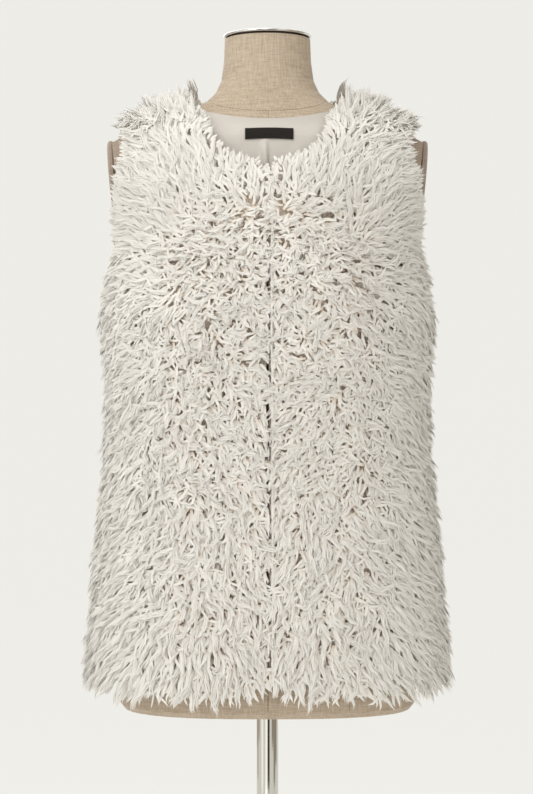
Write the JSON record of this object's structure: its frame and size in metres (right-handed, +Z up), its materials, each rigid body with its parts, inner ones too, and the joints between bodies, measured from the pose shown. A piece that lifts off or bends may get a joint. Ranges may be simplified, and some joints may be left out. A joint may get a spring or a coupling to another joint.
{
  "type": "faux fur vest on dress form",
  "caption": "Sleeveless hip-length long-pile fur vest with a satin yoke, its fronts meeting edge to edge, on a limbless linen dress form with a pole and a round foot.",
  "frame": {"origin": "on the floor at the middle of the round foot, under the pole", "axes": "+X to the right as seen from the front, the wearer's left; -Y is the front of the vest; +Z is up along the pole"},
  "size_m": [0.4435, 0.38, 1.4344],
  "materials": {
    "fur": "long curly cream pile with warm taupe depths, matte",
    "satin": "pale pinkish ivory satin, soft sheen",
    "label": "black woven label with folded ends, bare",
    "linen": "natural slubby linen, matte",
    "plate_cloth": "brownish cloth-covered plate",
    "felt": "dark felt band",
    "cap_metal": "polished thin metal cap",
    "pole_chrome": "mirror chrome tube",
    "foot_metal": "satin plated steel"
  },
  "bodies": {
    "root": {"front_left": "fur", "front_right": "fur", "back_left": "fur", "back_right": "fur", "lining_yoke": "satin", "neck_label": "label", "form_torso": "linen", "form_arm_plate_left": "plate_cloth", "form_arm_plate_right": "plate_cloth", "neck_gasket": "felt", "neck_cap": "cap_metal", "stand_pole": "pole_chrome", "base_boss": "pole_chrome", "base_plate": "foot_metal"}
  },
  "joints": []
}
